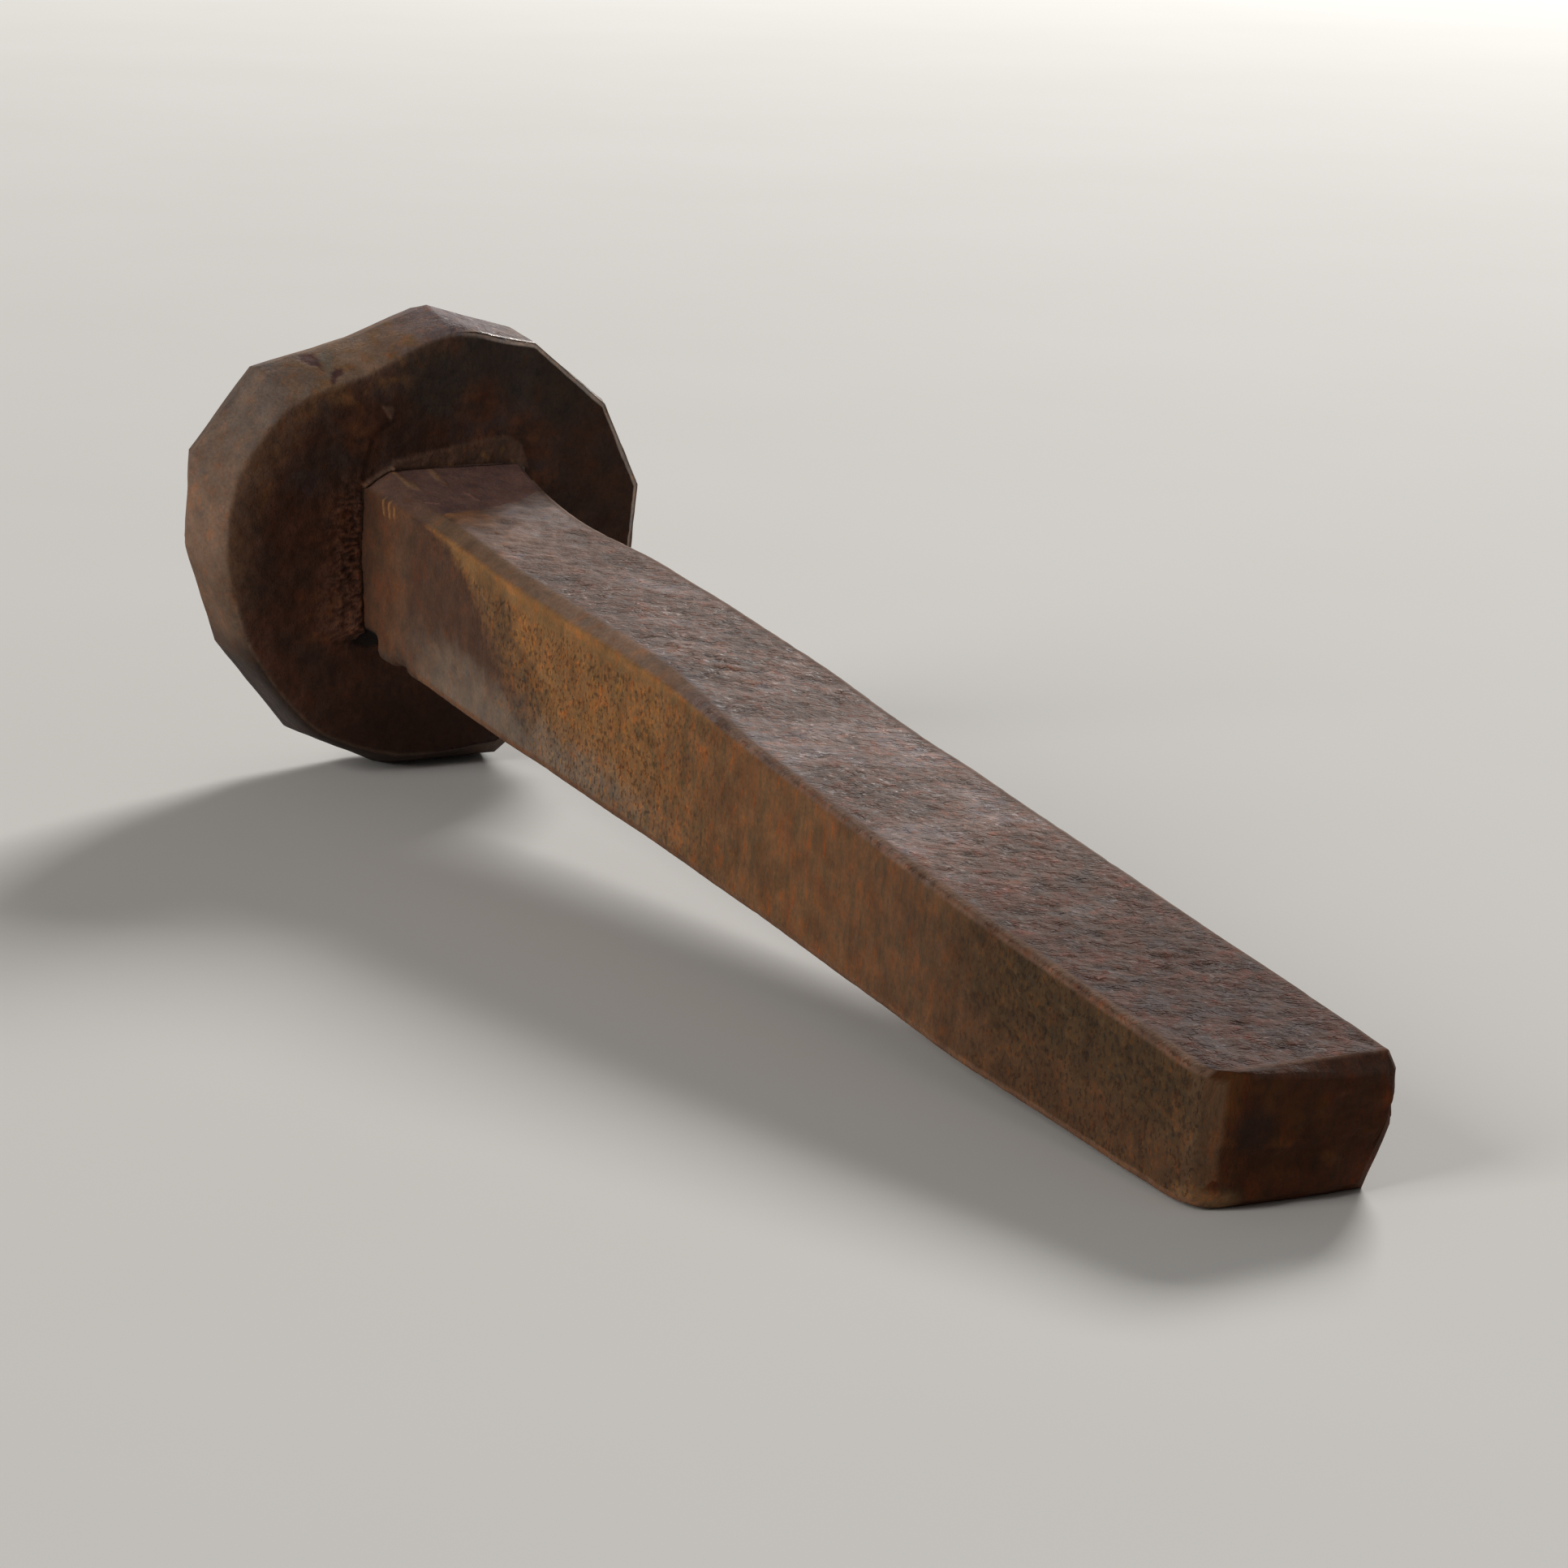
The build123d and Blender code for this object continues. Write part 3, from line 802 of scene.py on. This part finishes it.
class Nodes:
    """Puts a material's node tree together. All but add give back the socket that the next call takes."""

    def __init__(self, name):
        self.material = bpy.data.materials.new(name)
        self.material.use_nodes = True
        self.tree = self.material.node_tree
        self.tree.nodes.clear()

    def add(self, kind, inputs=(), **settings):
        """A node, with each input linked to a socket or set to a value."""
        node = self.tree.nodes.new("ShaderNode" + kind)
        for key, value in settings.items():
            setattr(node, key, value)
        for key, value in dict(inputs).items():
            if isinstance(value, bpy.types.NodeSocket):
                self.tree.links.new(value, node.inputs[key])
            else:
                node.inputs[key].default_value = value
        return node

    def stored(self, name, output="Fac"):
        """What the mesh keeps under a name."""
        return self.add("Attribute", attribute_name=name).outputs[output]

    def maths(self, operation, a, b=0.0):
        """The result of a sum on one or two numbers or sockets."""
        return self.add("Math", {0: a, 1: b}, operation=operation).outputs[0]

    def grain(self, places, size, away=0.0, detail=3.0, stretch=(1, 1, 1)):
        """Noise from 0 to 1 with lumps of a size in mm, drawn out along the axes by stretch."""
        scale = [1 / (size * share) for share in stretch]
        inputs = {0: places, 1: scale, 2: (away, away, away)}
        shifted = self.add("VectorMath", inputs, operation="MULTIPLY_ADD").outputs[0]
        inputs = {"Vector": shifted, "Scale": 1.0, "Detail": detail, "Roughness": 0.6}
        return self.add("TexNoise", inputs).outputs["Fac"]

    def levels(self, value, low, high, to_low=0.0, to_high=1.0):
        """The value taken from the range low to high into another, and kept inside it."""
        inputs = {"Value": value, 1: low, 2: high, 3: to_low, 4: to_high}
        return self.add("MapRange", inputs, clamp=True).outputs[0]

    def mix(self, amount, a, b, blend="MIX"):
        """Colour a, with b blended in by amount."""
        node = self.add("Mix", data_type="RGBA", blend_type=blend)
        for socket, value in ((node.inputs[0], amount), (node.inputs[6], a), (node.inputs[7], b)):
            if isinstance(value, bpy.types.NodeSocket):
                self.tree.links.new(value, socket)
            else:
                socket.default_value = value
        return node.outputs[2]

    def tinge(self, colour, amount, factor):
        """Multiplies the colour's red, green and blue by factor where amount is 1."""
        return self.mix(1.0, colour, self.mix(amount, (1, 1, 1, 1), (*factor, 1)), "MULTIPLY")

    def tinge_in(self, zone, colour, amount, factor):
        """Tinges the colour only as far as zone says."""
        return self.tinge(colour, self.maths("MULTIPLY", zone, amount), factor)


def rgba(colour):
    """A colour as on a paint chart, 0 to 255, for a node's socket."""
    return (*linear(colour), 1.0)


def rust_material(name):
    """Rusted iron: the washes stored in the mesh, broken up by mottling, flecks, specks and streaks."""
    n = Nodes(name)
    places = n.stored("spike", "Vector")
    colour = n.stored("tint", "Color")
    zones = ("grained", "speckled", "streaked", "worn")
    grained, speckled, streaked, worn = (n.stored(zone) for zone in zones)

    # Broad clouds, all over
    mottle = n.grain(places, 2.4, 0, 4)
    colour = n.tinge(colour, n.levels(mottle, 0.5, 0.3), (0.76, 0.74, 0.74))
    colour = n.tinge(colour, n.levels(mottle, 0.5, 0.7), (1.26, 1.22, 1.18))
    colour = n.tinge(colour, n.levels(n.grain(places, 1.4, 17, 4), 0.54, 0.70), (1.20, 0.98, 0.80))
    colour = n.tinge(colour, n.levels(n.grain(places, 1.7, 31, 4), 0.54, 0.70), (0.84, 0.94, 1.08))

    # Pale and dark flecks and fine folds, as on the top of the bar: partly painted highlights on the bump's
    # crests and painted shade in its fold lines and hollows
    turned = n.add("Mapping", {0: places, 2: (0, 0, FOLD_TURN)}).outputs[0]
    fleck = n.grain(turned, 0.5, 5, 4, (1, 1.7, 1))
    dark_fleck = n.grain(turned, 0.55, 11, 4, (1, 1.7, 1))
    gathered = n.maths("MULTIPLY", grained, n.levels(n.grain(places, 4.5, 37, 4), 0.40, 0.60, 0.15, 1.0))
    fold = n.maths("ABSOLUTE", n.maths("SUBTRACT", n.grain(turned, 1.3, 23, 3, (1, 2.8, 1)), 0.5))
    fold_line = n.levels(fold, 0.04, 0.0)
    colour = n.tinge_in(gathered, colour, n.levels(fleck, 0.53, 0.68), (1.36, 1.37, 1.40))
    colour = n.tinge_in(gathered, colour, n.levels(dark_fleck, 0.53, 0.68), (0.70, 0.63, 0.58))
    red_fleck = n.levels(n.grain(places, 0.9, 29, 3), 0.52, 0.64)
    colour = n.tinge_in(grained, colour, red_fleck, (1.30, 0.96, 0.80))
    colour = n.tinge_in(gathered, colour, fold_line, (0.60, 0.52, 0.48))

    # Many-coloured specks and pits, as in the ochre rust
    hole = n.levels(n.grain(places, 0.40, 41, 2, (1, 1, 1.4)), 0.54, 0.64)
    specks = [
        (hole, (0.52, 0.48, 0.48)),
        (n.levels(n.grain(places, 0.45, 47, 2, (1, 1, 1.4)), 0.56, 0.66), (0.72, 0.90, 1.10)),
        (n.levels(n.grain(places, 0.38, 53, 2, (1, 1, 1.4)), 0.54, 0.64), (1.36, 1.24, 0.92)),
        (n.levels(n.grain(places, 0.60, 59, 2, (1, 1, 1.4)), 0.56, 0.68), (1.24, 0.96, 0.72)),
    ]
    for mask, factor in specks:
        colour = n.tinge_in(speckled, colour, mask, factor)

    # Thin upright streaks, as on the flank
    streak = n.grain(places, 0.34, 61, 3, (1, 1, 5))
    dark_streak = n.grain(places, 0.42, 67, 3, (1, 1, 4))
    colour = n.tinge_in(streaked, colour, n.levels(streak, 0.54, 0.68), (1.30, 1.02, 0.78))
    colour = n.tinge_in(streaked, colour, n.levels(dark_streak, 0.54, 0.68), (0.76, 0.86, 0.92))
    stain = n.grain(places, 1.1, 83, 4, (1, 1, 2.6))
    colour = n.tinge_in(streaked, colour, n.levels(stain, 0.53, 0.68), (1.28, 0.98, 0.74))
    colour = n.tinge_in(streaked, colour, n.levels(stain, 0.47, 0.34), (0.74, 0.86, 0.90))
    fine = n.grain(places, 0.3, 71, 2)
    colour = n.tinge(colour, n.levels(fine, 0.5, 0.3), (0.86, 0.85, 0.85))
    colour = n.tinge(colour, n.levels(fine, 0.5, 0.7), (1.14, 1.14, 1.14))

    folded = n.maths("SUBTRACT", n.maths("SUBTRACT", fleck, n.maths("MULTIPLY", fold_line, 0.8)), dark_fleck)
    lumps = n.maths("MULTIPLY", n.grain(places, 0.9, 73, 3), 1.2)
    rough = n.maths("ADD", lumps, n.maths("MULTIPLY", fine, 0.35))
    relief = n.maths("ADD", n.maths("MULTIPLY", folded, grained), rough)
    relief = n.maths("SUBTRACT", relief, n.maths("MULTIPLY", n.maths("MULTIPLY", hole, 0.6), speckled))
    bump = n.add("Bump", {"Strength": 1.0, "Distance": 0.0001, "Height": relief}).outputs[0]
    glint = n.maths("MULTIPLY", n.maths("MULTIPLY", gathered, worn), n.levels(fleck, 0.54, 0.66, 0.0, 0.5))
    dull = n.maths("SUBTRACT", n.levels(fine, 0.3, 0.7, 0.84, 0.96), n.maths("MULTIPLY", worn, 0.3))
    dull = n.maths("SUBTRACT", dull, glint)
    inputs = {"Base Color": colour, "Roughness": dull, "Normal": bump}
    shader = n.add("BsdfPrincipled", {**inputs, "Specular IOR Level": 0.33})
    output = n.add("OutputMaterial")
    n.tree.links.new(shader.outputs[0], output.inputs[0])
    return n.material


# ---------------------------------------------------------------------------------------------
# Camera, floor and light
# ---------------------------------------------------------------------------------------------


def add_camera():
    """At the photograph's viewing angle."""
    place = Vector((0.36403, -0.19738, 0.11045))
    heading, pitch, roll = radians(-61.20), radians(-13.09), radians(1.526)
    data = bpy.data.cameras.new("camera")
    data.lens = 111.8
    data.sensor_width = 36.0
    data.clip_start = 0.01
    camera = bpy.data.objects.new("camera", data)
    turn = Matrix.Rotation(-heading, 4, "Z") @ Matrix.Rotation(radians(90) + pitch, 4, "X")
    camera.matrix_world = Matrix.Translation(place) @ turn @ Matrix.Rotation(roll, 4, "Z")
    bpy.context.scene.collection.objects.link(camera)
    bpy.context.scene.camera = camera


def add_floor():
    """Plain and pale, and large enough to reach the horizon."""
    half = 25.0
    corners = [(-half, -half, 0), (half, -half, 0), (half, half, 0), (-half, half, 0)]
    mesh = bpy.data.meshes.new("floor")
    mesh.from_pydata(corners, [], [(0, 1, 2, 3)])
    n = Nodes("pale_floor")
    places = n.add("TexCoord").outputs["Object"]
    cloud = n.add("TexNoise", {"Vector": places, "Scale": 14.0, "Detail": 3.0}).outputs["Fac"]
    colour = n.mix(cloud, rgba((228, 226, 222)), rgba((234, 232, 229)))
    shader = n.add("BsdfPrincipled", {"Base Color": colour, "Roughness": 0.85})
    n.tree.links.new(shader.outputs[0], n.add("OutputMaterial").inputs[0])
    mesh.materials.append(n.material)
    floor = bpy.data.objects.new("floor", mesh)
    bpy.context.scene.collection.objects.link(floor)


def add_softbox(name, place, size, power, warmth):
    """A square area light that faces the spike."""
    data = bpy.data.lights.new(name, "AREA")
    data.size = size
    data.energy = power
    data.color = warmth
    light = bpy.data.objects.new(name, data)
    light.location = place
    light.rotation_euler = (-Vector(place)).to_track_quat("-Z", "Y").to_euler()
    bpy.context.scene.collection.objects.link(light)


def add_light():
    """A key light behind the spike, a fill that grazes the underside of its head, and a faint sky."""
    add_softbox("key", (-2.0, 2.1, 1.6), 0.9, 84.0, (1.0, 0.985, 0.96))
    add_softbox("fill", (0.3, -2.4, 1.3), 1.3, 28.0, (1.0, 0.98, 0.95))
    world = bpy.data.worlds.new("studio")
    world.use_nodes = True
    world.node_tree.nodes["Background"].inputs[0].default_value = (0.95, 0.93, 0.90, 1)
    world.node_tree.nodes["Background"].inputs[1].default_value = 0.13
    bpy.context.scene.world = world
    bpy.context.scene.view_settings.view_transform = "Standard"


rust = rust_material("rusted_iron")
make_shank(rust)
make_head(rust)
add_camera()
add_floor()
add_light()
